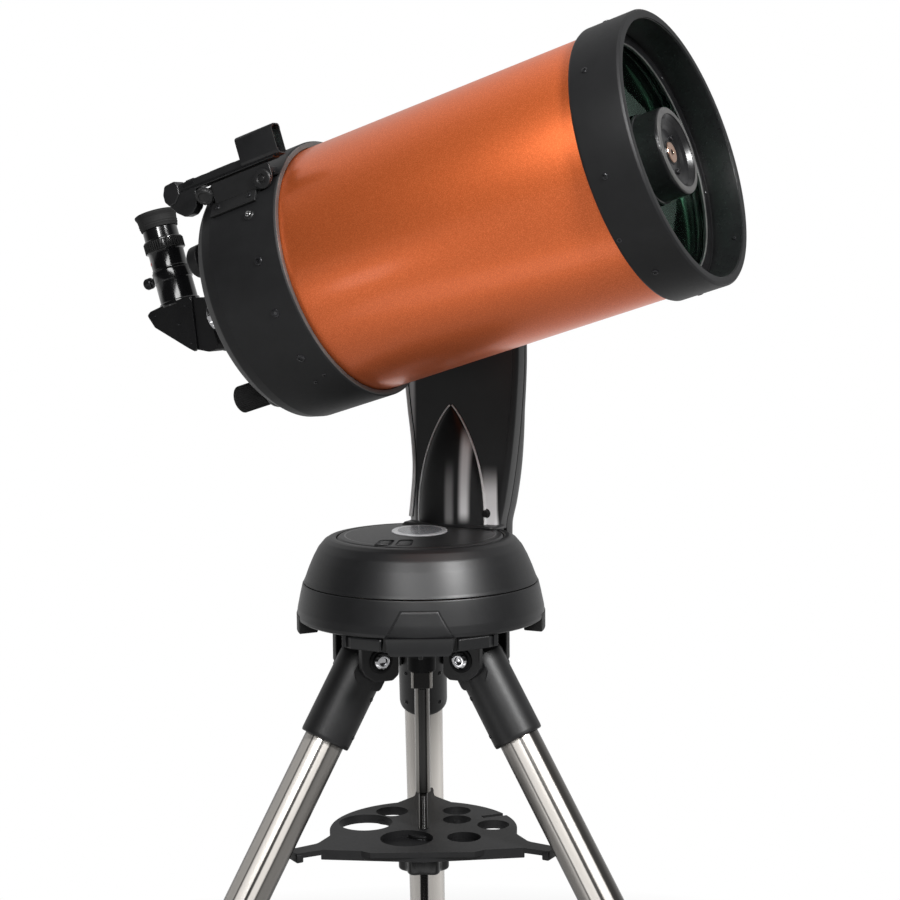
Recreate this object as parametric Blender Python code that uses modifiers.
"""Schmidt-Cassegrain telescope on a motorised single-arm mount with a stainless tripod.

Sizes are in mm, the scene is in metres, +Z up. The origin is on the floor, under the middle of the
object's bounding box; the azimuth axis stands a little nearer the -Y side, which is the front. The
optical tube points to the front right. Moving pieces hang from an empty on their joint's axis.
Inside the azimuth frame the tube points along +X and the arm stands on the +Y side of it."""
import math

import bmesh
import bpy
from mathutils import Vector

MM = 0.001

# ---------------------------------------------------------------- driving dimensions
# Heights named _Z are measured from the seam between base and turning dome, except SEAM_Z.
AXIS_Y = -66.4          # azimuth axis from the middle of the footprint
SEAM_Z = 720.0          # seam above the floor
HEADING = -27.4         # where the tube points, degrees about Z from +X
ALTITUDE = 17.2         # how far the tube is raised at rest, degrees
ALT_AXIS_Z = 298.2      # altitude axis
TUBE_OFFSET = 90.0      # optical axis to azimuth axis, sideways
TUBE_R = 112.4          # optical tube, outer radius
TUBE_WALL = 1.6
CELL_R = 117.5          # front cell, outer radius
FRONT_S = 311.0         # front rim, along the optical axis from the altitude axis
REAR_S = -120.0         # rear face of the rear cell
DIAGONAL_S = -206.0     # star diagonal's vertical axis
LEG_SPLAY = 30.7        # leg angle from vertical, degrees
LEG_PIVOT_R = 59.5      # hinge bolt distance from the azimuth axis
LEG_PIVOT_Z = -67.0     # hinge bolt
LEG_TUBE_R = 19.05      # 1.5 inch stainless tube
LEG_AZIMUTHS = (90.0, 210.0, 330.0)
TRAY_Z = -242.0         # top of the accessory tray
SHELL_GAP = 0.3         # gap between the arm's two shells

# Rotations in degrees
ALONG_X = (0, 90, 0)    # turns a piece's Z onto the parent's X
ALONG_Y = (-90, 0, 0)   # turns a piece's Z onto the parent's Y
UPRIGHT = (90, 0, 0)    # stands a piece's Y on the parent's Z, its Z onto -Y
SECTION_X = (90, 0, 90)  # lays a section in the parent's YZ plane, its Z onto X

MATERIALS = {  # name: base colour, roughness, metallic
    "black_plastic": ((0.02, 0.02, 0.022), 0.45, 0.0),
    "black_paint": ((0.015, 0.015, 0.017), 0.55, 0.0),
    "orange_metallic": ((0.62, 0.17, 0.05), 0.3, 0.8),
    "stainless": ((0.6, 0.57, 0.53), 0.15, 1.0),
    "chrome": ((0.7, 0.7, 0.7), 0.1, 1.0),
    "rubber": ((0.02, 0.02, 0.02), 0.8, 0.0),
    "glass": ((0.8, 0.85, 0.85), 0.05, 0.0),
    "mirror": ((0.9, 0.9, 0.9), 0.03, 1.0),
    "brass": ((0.7, 0.5, 0.2), 0.3, 1.0),
    "steel": ((0.4, 0.4, 0.42), 0.35, 1.0),
    "aluminium": ((0.5, 0.5, 0.52), 0.35, 1.0),
}

# ---------------------------------------------------------------- clean start
for old in list(bpy.data.objects):
    bpy.data.objects.remove(old, do_unlink=True)
for old in list(bpy.data.collections):
    bpy.data.collections.remove(old)
PARTS = bpy.data.collections.new("schmidt_cassegrain_telescope")
CUTTERS = bpy.data.collections.new("cutters")
for group in (PARTS, CUTTERS):
    bpy.context.scene.collection.children.link(group)


def make_material(name, colour, roughness, metallic):
    mat = bpy.data.materials.new(name)
    mat.use_nodes = True
    shader = mat.node_tree.nodes["Principled BSDF"]
    shader.inputs["Base Color"].default_value = (*colour, 1)
    shader.inputs["Roughness"].default_value = roughness
    shader.inputs["Metallic"].default_value = metallic
    mat.diffuse_color = (*colour, 1)
    return mat


MATS = {name: make_material(name, *look) for name, look in MATERIALS.items()}


# ---------------------------------------------------------------- helpers
# A shape made without a material is a hidden boolean tool.
def set_pose(obj, parent, loc, rot):
    obj.location = Vector(loc) * MM
    obj.rotation_euler = [math.radians(angle) for angle in rot]
    if parent is not None:
        obj.parent = parent


def frame(name, parent, loc=(0, 0, 0), rot=(0, 0, 0)):
    empty = bpy.data.objects.new(name, None)
    set_pose(empty, parent, loc, rot)
    PARTS.objects.link(empty)
    return empty


def place(name, mesh, parent, loc, rot, mat):
    obj = bpy.data.objects.new(name, mesh)
    set_pose(obj, parent, loc, rot)
    if mat:
        mesh.materials.append(MATS[mat])
        PARTS.objects.link(obj)
    else:
        CUTTERS.objects.link(obj)
        obj.hide_render = True
        obj.display_type = "WIRE"
    return obj


def from_bmesh(name, bm, parent, loc, rot, mat):
    mesh = bpy.data.meshes.new(name)
    bm.to_mesh(mesh)
    bm.free()
    return place(name, mesh, parent, loc, rot, mat)


def box(name, size, parent, loc, rot=(0, 0, 0), mat=None, bevel=0.0, bevel_segs=1):
    bm = bmesh.new()
    bmesh.ops.create_cube(bm, size=1.0)
    bmesh.ops.scale(bm, vec=Vector(size) * MM, verts=bm.verts)
    obj = from_bmesh(name, bm, parent, loc, rot, mat)
    if bevel:
        mod = obj.modifiers.new("edges", "BEVEL")
        mod.width = bevel * MM
        mod.segments = bevel_segs
        mod.limit_method = "ANGLE"
    return obj


def rod(name, radius, depth, parent, loc, rot=(0, 0, 0), mat=None, *, segs):
    """A solid cylinder along its local Z, centred on loc."""
    bm = bmesh.new()
    bmesh.ops.create_cone(bm, cap_ends=True, cap_tris=False, segments=segs,
                          radius1=radius * MM, radius2=radius * MM, depth=depth * MM)
    obj = from_bmesh(name, bm, parent, loc, rot, mat)
    obj.data.shade_smooth()
    obj.data.set_sharp_from_angle(angle=math.radians(38))
    return obj


def turned(name, profile, parent, loc=(0, 0, 0), rot=(0, 0, 0), mat=None, *, segs):
    """A piece turned about its local Z from (radius, height) points.

    A profile that starts on the axis also ends there; any other closes on itself as a ring."""
    edges = [(i, i + 1) for i in range(len(profile) - 1)]
    if profile[0][0] > 0:
        edges.append((len(profile) - 1, 0))
    mesh = bpy.data.meshes.new(name)
    mesh.from_pydata([(r * MM, 0, z * MM) for r, z in profile], edges, [])
    obj = place(name, mesh, parent, loc, rot, mat)
    mod = obj.modifiers.new("turn", "SCREW")
    mod.axis = "Z"
    mod.angle = math.tau
    mod.steps = segs
    mod.render_steps = segs
    mod.use_merge_vertices = True
    mod.merge_threshold = 0.00001
    mod.use_smooth_shade = True
    return obj


def outline(name, points, thick, parent, loc=(0, 0, 0), rot=(0, 0, 0), mat=None):
    """A plate from (x, y) points in its local XY, its thickness centred along Z."""
    curve = bpy.data.curves.new(name + "_curve", "CURVE")
    curve.dimensions = "2D"
    curve.fill_mode = "BOTH"
    curve.extrude = thick * MM / 2
    spline = curve.splines.new("POLY")
    spline.points.add(len(points) - 1)
    for point, (x, y) in zip(spline.points, points):
        point.co = (x * MM, y * MM, 0, 1)
    spline.use_cyclic_u = True
    source = bpy.data.objects.new(name + "_tmp", curve)
    PARTS.objects.link(source)
    depsgraph = bpy.context.evaluated_depsgraph_get()
    mesh = bpy.data.meshes.new_from_object(source.evaluated_get(depsgraph))
    bpy.data.objects.remove(source, do_unlink=True)
    mesh.name = name
    # the curve's caps and sides come unjoined
    bm = bmesh.new()
    bm.from_mesh(mesh)
    bmesh.ops.remove_doubles(bm, verts=bm.verts, dist=0.00001)
    bmesh.ops.recalc_face_normals(bm, faces=bm.faces)
    bm.to_mesh(mesh)
    bm.free()
    mesh.materials.clear()
    return place(name, mesh, parent, loc, rot, mat)


def loft(name, sections, parent, mat=None):
    """A solid through sections of equal point count, with flat ends."""
    bm = bmesh.new()
    rings = [[bm.verts.new(Vector(p) * MM) for p in section] for section in sections]
    count = len(rings[0])
    for low, high in zip(rings, rings[1:]):
        for i in range(count):
            j = (i + 1) % count
            bm.faces.new((low[i], low[j], high[j], high[i]))
    bm.faces.new(list(reversed(rings[0])))
    bm.faces.new(rings[-1])
    bmesh.ops.recalc_face_normals(bm, faces=bm.faces)
    return from_bmesh(name, bm, parent, (0, 0, 0), (0, 0, 0), mat)


def boolean(body, tool, operation):
    mod = body.modifiers.new(operation.lower(), "BOOLEAN")
    mod.operation = operation
    mod.object = tool
    mod.solver = "EXACT"


def cut(body, *tools):
    for tool in tools:
        boolean(body, tool, "DIFFERENCE")


def add(body, *tools):
    for tool in tools:
        boolean(body, tool, "UNION")


def arc(cx, cy, radius, start, end, steps):
    angles = [math.radians(start + (end - start) * i / steps) for i in range(steps + 1)]
    return [(cx + radius * math.cos(a), cy + radius * math.sin(a)) for a in angles]


def lobed(radius, depth, lobes, per_lobe):
    """Outline of a hand knob with rounded grips."""
    points = []
    count = lobes * per_lobe
    for i in range(count):
        angle = math.tau * i / count
        reach = radius - depth * (0.5 - 0.5 * math.cos(lobes * angle))
        points.append((reach * math.cos(angle), reach * math.sin(angle)))
    return points


# ================================================================ TRIPOD
SLOT_HALF = 24.9        # half width of a leg slot
SLOT_START = 33         # slot's inner end from the azimuth axis
SLOT_LENGTH = 60
LOCK_Z = -610           # lock knob's axis, along the leg from the hinge
FOOT_R = 17.0           # round tip of the foot
TRAY_THICK = 5.5
TRAY_MID_Z = TRAY_Z - TRAY_THICK / 2
TRAY_FRONT_Y = -76      # the tray's disc is cut off in front of this
TRAY_HOLES = (          # x, y, radius
    (-15.5, -32, 25.0), (-56, 19.5, 26.0), (-31.5, 55.5, 15.8), (32.2, 55.5, 13.8),
    (32.2, 26.0, 13.8), (67, 8, 15.4), (38.5, -30, 15.9), (0, 0, 5.0))


def tripod_head(base):
    """A disc with three leg slots, each with a pair of hinge ears, and a bored hub."""
    profile = [(0, -36.3), (71, -36.3), (72, -37.3), (72, -56.5), (70.5, -58), (28, -58),
               (26, -66), (8.2, -66), (8.2, -61), (0, -61)]
    ear_side = [(41, 0), (79, 0), (79, -38), *arc(69, -38, 10, -15, -90, 4),
                *arc(50, -39, 9, -90, -180, 4)]
    head = turned("tripod_head", profile, base, mat="black_paint", segs=36)
    for i, azimuth in enumerate(LEG_AZIMUTHS, 1):
        slot = frame(f"frame_slot_{i}", base, rot=(0, 0, azimuth))
        for letter, side in (("a", -1), ("b", 1)):
            add(head, outline(f"ear_{i}_{letter}", ear_side, 7.0, slot,
                              (0, side * (SLOT_HALF + 1.5), -38.2), UPRIGHT))
        cut(head,
            box(f"cut_slot_{i}", (SLOT_LENGTH, 2 * SLOT_HALF, 90), slot,
                (SLOT_START + SLOT_LENGTH / 2, 0, -65)),
            rod(f"cut_hinge_{i}", 4.3, 80, slot, (LEG_PIVOT_R, 0, LEG_PIVOT_Z), UPRIGHT, segs=16))
    cut(head, rod("cut_head_bore", 8.2, 30, base, (0, 0, -66), segs=20))


def centre_rod(base):
    profile = [(0, -61.3), (7.9, -61.3), (7.9, -68), (10.2, -68.2), (10.2, -94), (7.1, -95),
               (7.1, -206), (4.2, -207.5), (4.2, -318), (3.2, -320), (0, -320)]
    turned("centre_rod", profile, base, mat="chrome", segs=16)


def leg_hinge_bolt(i, leg):
    """Bolt with a head and a nut, through ears and casting, along the leg's Y."""
    profile = [(0, 35), (5.2, 35), (6.4, 34), (6.4, 30.3), (3.9, 30.3),
               (3.9, -30.3), (6.4, -30.3), (6.4, -34), (5.2, -35), (0, -35)]
    turned(f"leg_hinge_bolt_{i}", profile, leg, rot=ALONG_Y, mat="chrome", segs=8)


def leg_casting(i, leg):
    """Top casting: solid at the bolt, socket for the tube below."""
    profile = [(0, 9), (19, 9), (23.0, 5), (23.8, -4), (23.8, -101), (22.6, -102), (19.4, -102),
               (19.4, -13.6), (0, -13.6)]
    casting = turned(f"leg_casting_{i}", profile, leg, mat="black_paint", segs=24)
    cut(casting, rod(f"cut_cast_{i}", 4.5, 60, leg, (0, 0, 0), UPRIGHT, segs=12))


def leg_tubes(i, leg):
    """The upper tube, and the thinner lower leg that slides out of it; both open-ended."""
    turned(f"leg_tube_{i}", [(LEG_TUBE_R, -14), (LEG_TUBE_R, -600), (17.3, -600), (17.3, -14)],
           leg, mat="stainless", segs=24)
    turned(f"lower_leg_{i}", [(15.9, -120), (15.9, -724), (14.2, -724), (14.2, -120)],
           leg, mat="aluminium", segs=16)


def leg_clamp(i, leg):
    """Clamp casting on the upper tube's lower end, with a side boss for the lock knob."""
    profile = [(21.5, -556), (24.2, -559), (24.2, -612), (20.5, -628), (16.4, -628),
               (16.4, -600.4), (19.4, -600.4), (19.4, -556)]
    clamp = turned(f"leg_clamp_{i}", profile, leg, mat="black_paint", segs=24)
    add(clamp, rod(f"boss_clamp_{i}", 9, 13, leg, (27, 0, LOCK_Z), ALONG_X, segs=12))
    cut(clamp, rod(f"cut_clamp_{i}", 4.0, 40, leg, (35, 0, LOCK_Z), ALONG_X, segs=12))


def leg_foot(i, leg):
    """Rubber cup over the lower leg's end, with a round tip resting on the floor."""
    tip = (SEAM_Z + LEG_PIVOT_Z - FOOT_R) / math.cos(math.radians(LEG_SPLAY))
    profile = [(0, -724.3), (16.2, -724.3), (16.2, -700), (18.0, -700.5), (18.0, -tip + 3)]
    # one point of the round tip lies straight below its centre
    for angle in (12, 36, 90 - LEG_SPLAY, 77):
        turn = math.radians(angle)
        profile.append((FOOT_R * math.cos(turn), -tip - FOOT_R * math.sin(turn)))
    profile.append((0, -tip - FOOT_R))
    turned(f"leg_foot_{i}", profile, leg, mat="rubber", segs=16)


def leg_lock_knob(i, leg):
    """Lobed grip with its stud."""
    lock = frame(f"frame_lock_{i}", leg, (0, 0, LOCK_Z), ALONG_X)
    knob = outline(f"leg_lock_knob_{i}", lobed(15, 3, 5, 4), 11, lock, (0, 0, 40),
                   mat="black_plastic")
    add(knob, rod(f"stud_lock_{i}", 3.6, 24, lock, (0, 0, 29), segs=12))


def legs(base):
    """Each leg's frame sits on its hinge bolt, with -Z running down the leg."""
    for i, azimuth in enumerate(LEG_AZIMUTHS, 1):
        angle = math.radians(azimuth)
        pivot = (LEG_PIVOT_R * math.cos(angle), LEG_PIVOT_R * math.sin(angle), LEG_PIVOT_Z)
        leg = frame(f"frame_leg_{i}", base, pivot, (0, -LEG_SPLAY, azimuth))
        for build in (leg_hinge_bolt, leg_casting, leg_tubes, leg_clamp, leg_foot, leg_lock_knob):
            build(i, leg)


def accessory_tray(base):
    """Disc with a cut-off front, a front lip, three arms to the legs and eyepiece holes."""
    lip = [(0, -76.5), (95, -64.5), (88, -40), (0, -30), (-88, -40), (-95, -64.5)]
    arm = [(138.8, -8), (138.8, 8), (108, 10), (84, 28), (60, 28), (60, -28), (84, -28),
           (108, -10)]
    tray = rod("accessory_tray", 89.6, TRAY_THICK, base, (0, 0, TRAY_MID_Z),
               mat="black_plastic", segs=40)
    cut(tray, box("cut_tray_front", (260, 60, 30), base, (0, TRAY_FRONT_Y - 60 / 2, TRAY_Z)))
    add(tray, outline("tray_front", lip, 5.1, base, (0, 0, TRAY_MID_Z)))
    for i, azimuth in enumerate(LEG_AZIMUTHS, 1):
        towards_leg = frame(f"frame_tray_{i}", base, (0, 0, TRAY_MID_Z), (0, 0, azimuth))
        add(tray, outline(f"tray_arm_{i}", arm, 4.7, towards_leg))
    for i, (x, y, radius) in enumerate(TRAY_HOLES, 1):
        cut(tray, rod(f"cut_tray_{i}", radius, 30, base, (x, y, TRAY_Z),
                      segs=16 if radius > 20 else 12))
    cut(tray, box("cut_tray_slot", (60, 7, 30), base, (85, 44, TRAY_Z), (0, 0, 20)))


def tray_knob(base):
    """Lobed knob with a hub, bored for the centre rod."""
    centre = frame("frame_tray_knob", base, (0, 0, -274))
    knob = outline("tray_knob", lobed(24.2, 4.5, 6, 4), 17, centre, mat="black_plastic")
    add(knob, rod("tray_knob_hub", 16, 24, base, (0, 0, -260.3), segs=18))
    cut(knob, rod("cut_tray_knob", 5.0, 80, base, (0, 0, -270), segs=10))


# ================================================================ BASE (fixed)
def base_skirt(base):
    """Flared ring with a floor, three pads and a front hatch block."""
    profile = [(111.2, -1.2), (113.2, -10.3), (116.2, -24.3), (117.2, -31), (116.4, -34.0),
               (107, -36.0), (20, -36.0), (20, -31.0), (105, -31.0), (112.0, -27), (108.0, -1.2)]
    pad = arc(0, 0, 115.4, -16.3, 16.3, 4) + arc(0, 0, 98.3, 14.2, -14.2, 3)
    hatch = [[(-33, -119.2, -34.7), (33, -119.2, -34.7), (33, -105.5, -34.7), (-33, -105.5, -34.7)],
             [(-19, -116.6, -10), (19, -116.6, -10), (19, -108, -10), (-19, -108, -10)]]
    skirt = turned("base_skirt", profile, base, mat="black_plastic", segs=48)
    for i, azimuth in enumerate((0, 90, 180), 1):  # right, rear, left
        place_on_rim = frame(f"frame_pad_{i}", base, rot=(0, 0, azimuth))
        add(skirt, outline(f"pad_{i}", pad, 14, place_on_rim, (0, 0, -40)))
    add(skirt, loft("hatch", hatch, base))


def azimuth_gear(base):
    profile = [(0, -6), (14, -6), (14, -17.5), (62, -17.5), (62, -26), (24, -26), (24, -30.7),
               (0, -30.7)]
    gear = turned("azimuth_gear", profile, base, mat="brass", segs=36)
    cut(gear, rod("cut_gear_bore", 6, 60, base, (0, 0, -15), segs=16))


# ================================================================ AZIMUTH BODY
AZ_WORM_Y = 69.4        # azimuth worm and motor, from the azimuth axis
ARM_FOOT_X = 2.25       # middle of the arm's foot flange
ARM_IN = 66.0           # arm's flat face towards the tube
ARM_SPLIT = 84.0        # parting plane between the two shells
SWITCH = (0, 113.0, 66)
HAND_Y = 101.5          # origin plane of the hand control's depths
KEYS_Z = 177
DOME_OUT = [            # dome's outer side: radius, height
    (79.3, 40.8), (83.5, 41.2), (90.0, 38.2), (96.2, 31.4), (103.6, 16.5), (110.4, -0.8)]
ARM = [                 # height, rear edge x, front edge x, outer face y
    (2, -47, 50, 111.5), (40, -48, 50, 112.5), (47, -48, 50.5, 113), (64, -46, 54.5, 113.5),
    (95, -43.5, 60, 112.5), (124, -45, 64, 109.5), (153, -48.5, 67, 105.8), (195, -53, 70, 101),
    (230, -56.5, 70.5, 99), (262, -59, 70.5, 98), (298, -60, 69.5, 97.5), (322, -55.5, 64.5, 97),
    (340, -46, 54.5, 96), (352, -32, 40, 94), (358, -16, 24, 91)]
ARM_HOLLOW = [station for station in ARM if 60 < station[0] < 345]


def base_dome(azimuth):
    """Turning dome with its hollow spindle boss solid to the axis."""
    profile = [(0, 38.4), (78.9, 38.4), *DOME_OUT, (106.8, -0.8), (99.4, 16), (92.0, 30),
               (84, 36.2), (12, 36.2), (12, -5.6), (5.6, -5.6), (5.6, -30), (0, -30)]
    turned("base_dome", profile, azimuth, mat="black_plastic", segs=48)


def battery_cover(azimuth):
    """Disc on top of the dome, cut away under the arm's foot."""
    profile = [(0, 43.0), (60, 42.2), (77.6, 41.0), (78.5, 40.0), (78.5, 38.7), (0, 38.7)]
    cover = turned("battery_cover", profile, azimuth, mat="black_plastic", segs=48)
    cut(cover, box("cut_cover_foot", (98.4, 60, 30), azimuth, (ARM_FOOT_X, 49.6 + 60 / 2, 40)))


def worm(name, parent, loc, shaft_r, root_r, crest_r, shaft_end):
    """Worm on its shaft, along the parent's X."""
    thread = []
    for root_z, crest_z in ((13, 11), (8, 5), (2, -1), (-4, -7), (-10, -12)):
        thread += [(root_r, root_z), (crest_r, crest_z)]
    profile = [(0, shaft_end), (shaft_r, shaft_end), (shaft_r, 14), *thread,
               (shaft_r, -14), (shaft_r, -17), (0, -17)]
    turned(name, profile, frame(f"frame_{name}", parent, loc, ALONG_X), mat="steel", segs=10)


def azimuth_drive(azimuth):
    """Motor hanging from the dome on a post, and its worm."""
    motor = box("azimuth_motor", (40, 22, 22), azimuth, (44, AZ_WORM_Y, -19.2),
                mat="steel", bevel=1.5)
    add(motor, box("post_az", (12, 10, 46), azimuth, (38, 65.5, 12.0)))
    worm("azimuth_worm", azimuth, (0, AZ_WORM_Y, -21.5),
         shaft_r=3, root_r=5.6, crest_r=7, shaft_end=23.6)


def altitude_drive(azimuth):
    """Motor and worm below the altitude gear, inside the arm."""
    worm("altitude_worm", azimuth, (0, 79, ALT_AXIS_Z - 47.0),
         shaft_r=2.5, root_r=5.2, crest_r=6.5, shaft_end=21.7)
    box("altitude_motor", (36, 18, 20), azimuth, (40, 81.5, ALT_AXIS_Z - 48),
        mat="steel", bevel=1.5)


def arm_section(z, rear, front, y0, y1, r0, r1, inset=0.0):
    """Rounded rectangle in plan, corner radii r0 at the y0 side and r1 at the y1 side."""
    rear, front = rear + inset, front - inset
    r0 = min(r0, (front - rear) / 2.2)
    r1 = min(r1, (front - rear) / 2.2, (y1 - y0) * 0.85)
    corners = (  # corner x, y, direction inwards in x, in y, radius, start angle, steps
        (rear, y0, 1, 1, r0, 180, 3), (front, y0, -1, 1, r0, 270, 3),
        (front, y1, -1, -1, r1, 0, 4), (rear, y1, 1, -1, r1, 90, 4))
    points = []
    for x, y, in_x, in_y, r, start, steps in corners:
        if r > 0.5:
            points += arc(x + in_x * r, y + in_y * r, r, start, start + 90, steps)
        else:
            points.append((x, y))
    return [(x, y, z) for x, y in points]


def dome_seat(index, azimuth):
    """Cutter that clears the arm's foot from the dome and its cover."""
    clearance = 0.35
    profile = [(0, 38.7), (78.5, 38.7), (78.9, 40.9),
               *[(r + clearance, z + clearance) for r, z in DOME_OUT[1:]], (110.8, -40), (0, -40)]
    return turned(f"cut_dome_seat_{index}", profile, azimuth, segs=64)


def arm_bulge(azimuth):
    """Pointed half-round cover low on the inner shell, over the cable run."""
    sections = []
    for k in range(8):
        t = k / 7.3
        half_width = 35.6 * (1 - t ** 2.0)
        depth = 14.0 * (1 - t ** 2.2) + 1.5
        angles = [math.radians(q) for q in (180, 158, 135, 112, 90, 68, 45, 22, 0)]
        sections.append([(half_width * math.cos(a), ARM_IN + 3.5 - (depth + 3.5) * math.sin(a),
                          41.5 + 116 * t) for a in angles])
    return loft("bulge", sections, azimuth)


def arm_inner_shell(azimuth):
    """Hollow shell on the tube side, with a foot flange and a bore for the altitude shaft."""
    shell = loft("arm_inner_shell",
                 [arm_section(z, rear, front, ARM_IN, ARM_SPLIT, 5, 0)
                  for z, rear, front, _ in ARM[1:]], azimuth, "black_plastic")
    cut(shell, loft("cut_arm_inner",
                    [arm_section(z, rear, front, ARM_IN + 5, ARM_SPLIT + 4, 4, 0, 5)
                     for z, rear, front, _ in ARM_HOLLOW], azimuth))
    add(shell, arm_bulge(azimuth),
        box("foot_flange", (97.5, 27, 9.3), azimuth, (ARM_FOOT_X, 63.5, 40.65)))
    cut(shell, dome_seat(0, azimuth),
        rod("cut_shaft_inner", 12.4, 60, azimuth, (0, 70, ALT_AXIS_Z), UPRIGHT, segs=24))


def hand_sections(plan, stations):
    """Sections of a plan (x, depth), its width scaled at each station (height, scale)."""
    return [[(x * scale, HAND_Y + y, z) for x, y in plan] for z, scale in stations]


def arm_outer_shell(azimuth):
    """Hollow shell away from the tube, with openings for the switch and the hand control."""
    shell = loft("arm_outer_shell",
                 [arm_section(z, rear, front, ARM_SPLIT + SHELL_GAP, outer, 0, 18)
                  for z, rear, front, outer in ARM], azimuth, "black_plastic")
    cradle = hand_sections([(-32, -0.4), (32, -0.4), (32, 40), (-32, 40)],
                           [(125.4, 0.98), (269, 1.02)])
    cut(shell,
        loft("cut_arm_outer",
             [arm_section(z, rear, front, ARM_SPLIT - 4, outer - 7, 0, 12, 5)
              for z, rear, front, outer in ARM_HOLLOW], azimuth),
        dome_seat(1, azimuth),
        box("cut_switch", (13.2, 16, 20.4), azimuth, SWITCH),
        loft("cut_cradle", cradle, azimuth))


def power_switch(azimuth):
    """Rocker low on the outer face."""
    box("power_switch", (12, 7, 18), azimuth, SWITCH, mat="black_plastic", bevel=1.0)


def hand_control(azimuth):
    """Handset standing in its cradle pocket, with one moulded key mat."""
    plan = [(-27, 0.5), (27, 0.5), (31, 6), (31, 17), (27, 22), (-27, 22), (-31, 17), (-31, 6)]
    stations = [(126, 0.86), (131, 0.93), (180, 0.97), (225, 1.0), (262, 1.0), (268, 0.9)]
    body = loft("hand_control", hand_sections(plan, stations), azimuth, "black_plastic")
    cut(body, box("cut_keys", (40, 8, 74), azimuth, (0, HAND_Y + 23, KEYS_Z)))
    box("hand_control_keys", (39, 4.6, 73), azimuth, (0, HAND_Y + 22.7, KEYS_Z),
        mat="rubber", bevel=1.0)


# ================================================================ ALTITUDE BODY
SADDLE_Y = 47.2         # middle of the saddle clamp
BAR_Y = 29.8            # dovetail bar's face towards the tube
SCREW_Y = SADDLE_Y - 9.5  # saddle knob's axis


def altitude_gear(altitude):
    """Gear and its shaft, along the altitude axis."""
    profile = [(0, 88.5), (12, 88.5), (12, 83.2), (39, 83.2), (40, 82.2), (40, 75.8), (39, 74.8),
               (12, 74.8), (12, 60.5), (0, 60.5)]
    axis = frame("frame_altitude_gear", altitude, rot=ALONG_Y)
    turned("altitude_gear", profile, axis, mat="brass", segs=28)


def saddle_clamp(altitude):
    """Block with a dovetail groove along X and a screw hole from above."""
    groove = [(-6, -22.6), (-6, 22.6), (0.2, 22.6), (14.1, 18.4), (14.1, -18.4), (0.2, -22.6)]
    saddle = box("saddle_clamp", (84, 26, 62), altitude, (0, SADDLE_Y, 0),
                 mat="black_paint", bevel=3, bevel_segs=2)
    groove_frame = frame("frame_cut_bar", altitude, (0, BAR_Y, 0), SECTION_X)
    cut(saddle, outline("cut_dovetail", groove, 400, groove_frame),
        rod("cut_saddle_screw", 4.4, 20, altitude, (0, SCREW_Y, 27), segs=16))


def dovetail_bar(altitude):
    section = [(0, -22), (0, 22), (13.6, 18), (13.6, -18)]
    bar_frame = frame("frame_bar", altitude, (125, BAR_Y, 0), SECTION_X)
    outline("dovetail_bar", section, 330, bar_frame, mat="aluminium")


def saddle_knob(altitude):
    profile = [(0, 56), (14, 56), (16, 54), (16, 45), (14, 43), (7, 42), (7, 34), (4.1, 33),
               (4.1, 22.8), (0, 22.8)]
    axis = frame("frame_saddle_knob", altitude, (0, SCREW_Y, 0))
    turned("saddle_knob", profile, axis, mat="black_plastic", segs=16)


# ================================================================ OPTICAL TUBE
FOCUS_Y, FOCUS_Z = -22.0, -82.0  # focus knob's axis from the optical axis
COAXIAL = (             # name, material, segments, (radius, distance along the optical axis)
    ("optical_tube", "orange_metallic", 64,
     [(TUBE_R, 270), (TUBE_R, -26), (TUBE_R - TUBE_WALL, -26), (TUBE_R - TUBE_WALL, 270)]),
    ("front_cell", "black_paint", 56,
     [(110.1, FRONT_S), (115.9, FRONT_S), (CELL_R, FRONT_S - 1.8), (CELL_R, 266.4),
      (112.8, 266.4), (112.8, 270.4), (101.0, 270.4), (101.0, 273.4), (110.1, 273.4)]),
    ("corrector_plate", "glass", 32,
     [(104.4, 278.4), (104.4, 273.8), (30.4, 273.8), (30.4, 278.4)]),
    ("corrector_ring", "black_plastic", 32,
     [(99.4, 282.0), (109.7, 282.0), (109.7, 273.8), (104.8, 273.8), (104.8, 278.8),
      (99.4, 278.8)]),
    ("secondary_holder", "black_paint", 24,
     [(30.0, 303.5), (36.2, 303.5), (37.0, 302.5), (37.0, 278.8), (30.0, 278.8), (30.0, 260),
      (36.0, 260), (36.0, 256), (27.5, 256), (27.5, 284), (30.0, 290)]),
    ("secondary_mirror", "mirror", 20,
     [(0, 283.0), (27.1, 283.0), (27.1, 258), (14, 257.2), (0, 257.0)]),
    ("visual_back", "black_paint", 20,
     [(14.6, -108), (23.9, -108), (23.9, -120.4), (31, -120.4), (31, -126), (26, -128),
      (26, -149), (22, -153), (22, -163.4), (16.3, -163.4), (16.3, -126), (14.6, -124)]),
    ("baffle_tube", "black_paint", 16,
     [(14.4, 60), (16.4, 60), (19.0, -100), (23.9, -100), (23.9, -107.6), (14.4, -107.6)]),
)


def coaxial_pieces(optical):
    for name, mat, segs, profile in COAXIAL:
        turned(name, profile, optical, rot=ALONG_X, mat=mat, segs=segs)


def rear_cell(optical):
    """Rear casting, with a hole for the focus knob's shaft."""
    profile = [(112.8, -13), (117.8, -13), (119.4, -14.5), (119.4, -20), (118.4, -22),
               (118.0, -88), (113, -101), (92, -117), (60, REAR_S), (24.3, REAR_S),
               (24.3, -113), (56, -113), (88, -110), (107, -96), (110.5, -86),
               (110.5, -26.4), (112.8, -26.4)]
    cell = turned("rear_cell", profile, optical, rot=ALONG_X, mat="black_paint", segs=48)
    cut(cell, rod("cut_focus", 4.0, 60, optical, (-110, FOCUS_Y, FOCUS_Z), ALONG_X, segs=16))


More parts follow.
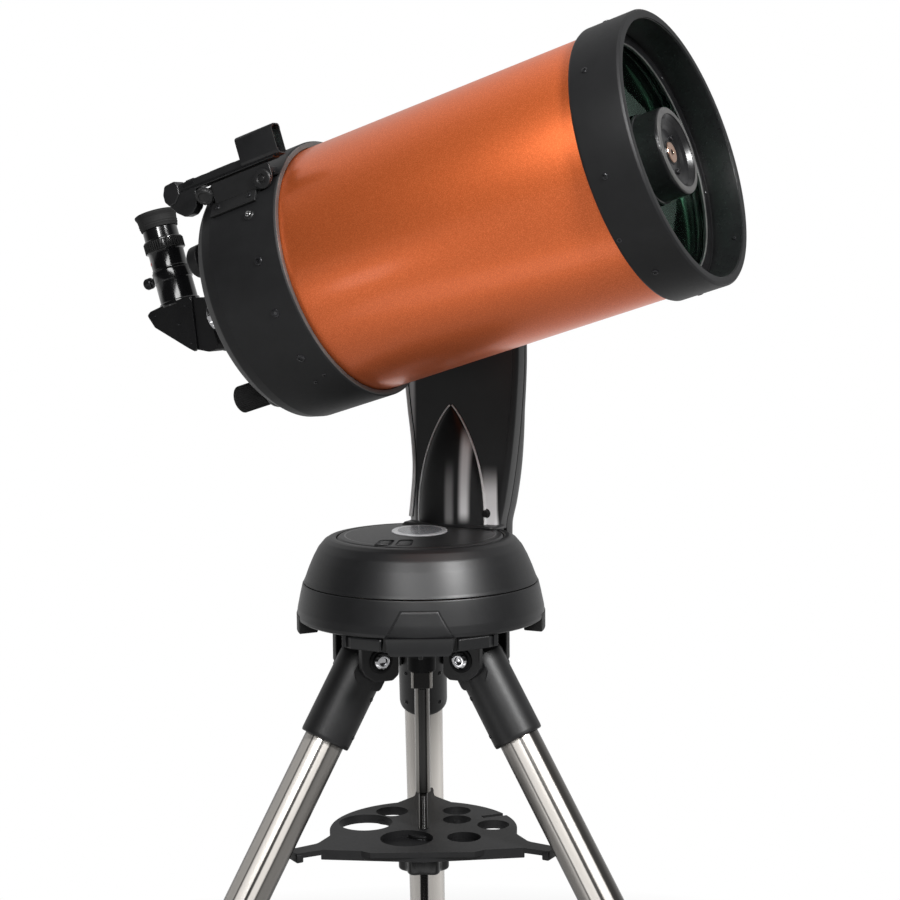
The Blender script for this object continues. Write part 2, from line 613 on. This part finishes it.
def primary_mirror(optical):
    profile = [(30, -62), (70, -59.6), (101.6, -55), (101.6, -70), (72, -76), (30, -78),
               (21.5, -78), (21.5, -60), (28, -60)]
    axis = frame("frame_primary", optical, rot=ALONG_X)
    turned("primary_mirror", profile, axis, mat="mirror", segs=32)


def focus_knob(optical):
    profile = [(0, -84), (3.2, -84), (3.2, -119), (12, -124.0), (12.6, -125), (12.6, -153),
               (11.4, -155), (0, -155)]
    axis = frame("frame_focus_knob", optical, (0, FOCUS_Y, FOCUS_Z), ALONG_X)
    turned("focus_knob", profile, axis, mat="black_plastic", segs=16)


# ---------------------------------------------------------------- star diagonal and eyepiece
THUMB_Z = 52            # thumb screw's axis above the optical axis


def diagonal_body(diagonal):
    """Prism housing with a turned nose along X and an eyepiece socket along Z."""
    side = [(-29, 21), (-27, 24), (-10, 25), (24, 25), (39.5, 20), (42, 16), (42, -26),
            (38, -30), (30, -30.5), (17, -25)]
    body = outline("diagonal_body", side, 34, diagonal, rot=UPRIGHT, mat="black_plastic")
    add(body,
        rod("nose", 15.8, 36, diagonal, (58, 0, 0), ALONG_X, segs=20),
        rod("socket", 17.6, 34, diagonal, (0, 0, 40), segs=20))
    cut(body,
        rod("cut_nose", 13.2, 110, diagonal, (32, 0, 0), ALONG_X, segs=16),
        rod("cut_socket", 16.2, 60, diagonal, (0, 0, 58), segs=20),
        rod("cut_socket2", 13.2, 60, diagonal, (0, 0, 25), segs=16),
        rod("cut_thumb", 2.6, 24, diagonal, (-20, 0, THUMB_Z), ALONG_X, segs=12))


def diagonal_thumb_screw(diagonal):
    profile = [(0, -16.6), (2.2, -16.6), (2.2, -20), (3.4, -21), (3.4, -23), (5.2, -24),
               (5.4, -31), (4.6, -32), (0, -32)]
    axis = frame("frame_thumb", diagonal, (0, 0, THUMB_Z), ALONG_X)
    turned("diagonal_thumb_screw", profile, axis, mat="chrome", segs=16)


def eyepiece(diagonal):
    """Hollow eyepiece standing in the socket, and the rubber cup on its top."""
    barrel = [(13.5, 104), (16.2, 104), (16.4, 86.4), (18.6, 86), (18.9, 85), (18.9, 76),
              (18.6, 75), (16.6, 74.4), (16.6, 58.2), (15.8, 57.6), (15.8, 30), (13.6, 30),
              (13.6, 60), (11, 96)]
    cup = [(17.5, 112.5), (19.9, 112.5), (20.0, 111), (18.4, 106), (17.9, 97), (16.6, 96.5),
           (16.6, 104.4), (11.5, 104.4), (11.5, 106)]
    axis = frame("frame_eyepiece", diagonal)
    turned("eyepiece", barrel, axis, mat="black_plastic", segs=20)
    turned("eyecup", cup, axis, mat="rubber", segs=20)


# ---------------------------------------------------------------- red-dot finder
FINDER_ANGLE = 39.0     # from the tube's top round to the side away from the arm, degrees
PIVOT_X, PIVOT_Z = -31, 128
KNOB_X, KNOB_Z = -88, 127


def finder_bracket(finder, optical):
    """Forked bracket seated on the rear cell's shoulder and lip."""
    side = [(-97, 115), (-12, 115), (-12, 122), (-20, 130.5), (-31, 134.5), (-42, 131),
            (-50, 124.5), (-78, 124.5), (-82, 131), (-88, 134), (-94, 131), (-97, 124)]
    shoulder = [(0, 20), (118.9, 20), (118.9, -88), (113.6, -101.6), (100, -111.6), (0, -111.6)]
    lip = [(0, 0), (120.0, 0), (120.0, -22.5), (0, -22.5)]
    fork = 17.2  # width between the cheeks
    bracket = outline("finder_bracket", side, 26, finder, rot=UPRIGHT, mat="black_plastic")
    cut(bracket,
        turned("cut_cell_seat", shoulder, optical, rot=ALONG_X, segs=48),
        turned("cut_cell_lip", lip, optical, rot=ALONG_X, segs=48),
        rod("cut_finder_pin", 9.5, fork, finder, (PIVOT_X, 0, PIVOT_Z), UPRIGHT, segs=20),
        box("cut_finder_gap", (120, fork, 24), finder, (-52, 0, 134.5)))
    add(bracket, rod("pivot_disc", 8.5, 4, finder, (PIVOT_X, -14.2, 127), UPRIGHT, segs=16))
    cut(bracket, rod("cut_knob_bore", 3.4, 12, finder, (KNOB_X, -13, KNOB_Z), UPRIGHT, segs=12))


def finder_body(finder):
    """Flat body with a pivot eye and a square open hood."""
    side = [(-101, 15), (-98, 19.5), (-94, 21), (-30, 18.5), (-22, 17), (30, 17), (31, 7),
            (28, 2.0), (9, 1.0), (-9, -1), (-20, 0.6), (-66.5, 0.6), (-68.5, -8), (-76, -16),
            (-84, -17), (-92, -9), (-95, 0), (-100.5, 4)]
    hood_centre = (3, 0, 21.4)
    pivot = frame("frame_finder_body", finder, (PIVOT_X, 0, PIVOT_Z))
    body = outline("finder_body", side, 15.6, pivot, rot=UPRIGHT, mat="black_plastic")
    add(body, rod("pivot_eye", 8.0, 15.4, pivot, (0, 0, 0), UPRIGHT, segs=16),
        box("hood", (54, 27, 25.5), pivot, hood_centre))
    cut(body, box("cut_hood", (80, 23, 20.5), pivot, hood_centre))


def finder_knob(finder):
    profile = [(0, -8.9), (3.0, -8.9), (3.0, -13.4), (8.0, -13.4), (8.4, -14), (8.4, -18),
               (7.6, -18.8), (0, -18.8)]
    axis = frame("frame_finder_knob", finder, (KNOB_X, 0, KNOB_Z), ALONG_Y)
    turned("finder_knob", profile, axis, mat="black_plastic", segs=16)


# ================================================================ ASSEMBLY
def build_telescope():
    base = frame("frame_base", None, (0, AXIS_Y, SEAM_Z))
    azimuth = frame("frame_azimuth", base, rot=(0, 0, HEADING))
    altitude = frame("frame_altitude", azimuth, (0, 0, ALT_AXIS_Z), (0, -ALTITUDE, 0))
    optical = frame("frame_optical_axis", altitude, (0, -TUBE_OFFSET, 0))
    diagonal = frame("frame_diagonal", optical, (DIAGONAL_S, 0, 0))
    finder = frame("frame_finder", optical, rot=(FINDER_ANGLE, 0, 0))
    groups = (
        (base, (tripod_head, centre_rod, legs, accessory_tray, tray_knob, base_skirt,
                azimuth_gear)),
        (azimuth, (base_dome, battery_cover, azimuth_drive, arm_inner_shell, arm_outer_shell,
                   altitude_drive, power_switch, hand_control)),
        (altitude, (altitude_gear, saddle_clamp, dovetail_bar, saddle_knob)),
        (optical, (coaxial_pieces, rear_cell, primary_mirror, focus_knob)),
        (diagonal, (diagonal_body, diagonal_thumb_screw, eyepiece)),
        (finder, (finder_body, finder_knob)),
    )
    for parent, builders in groups:
        for build in builders:
            build(parent)
    finder_bracket(finder, optical)


build_telescope()
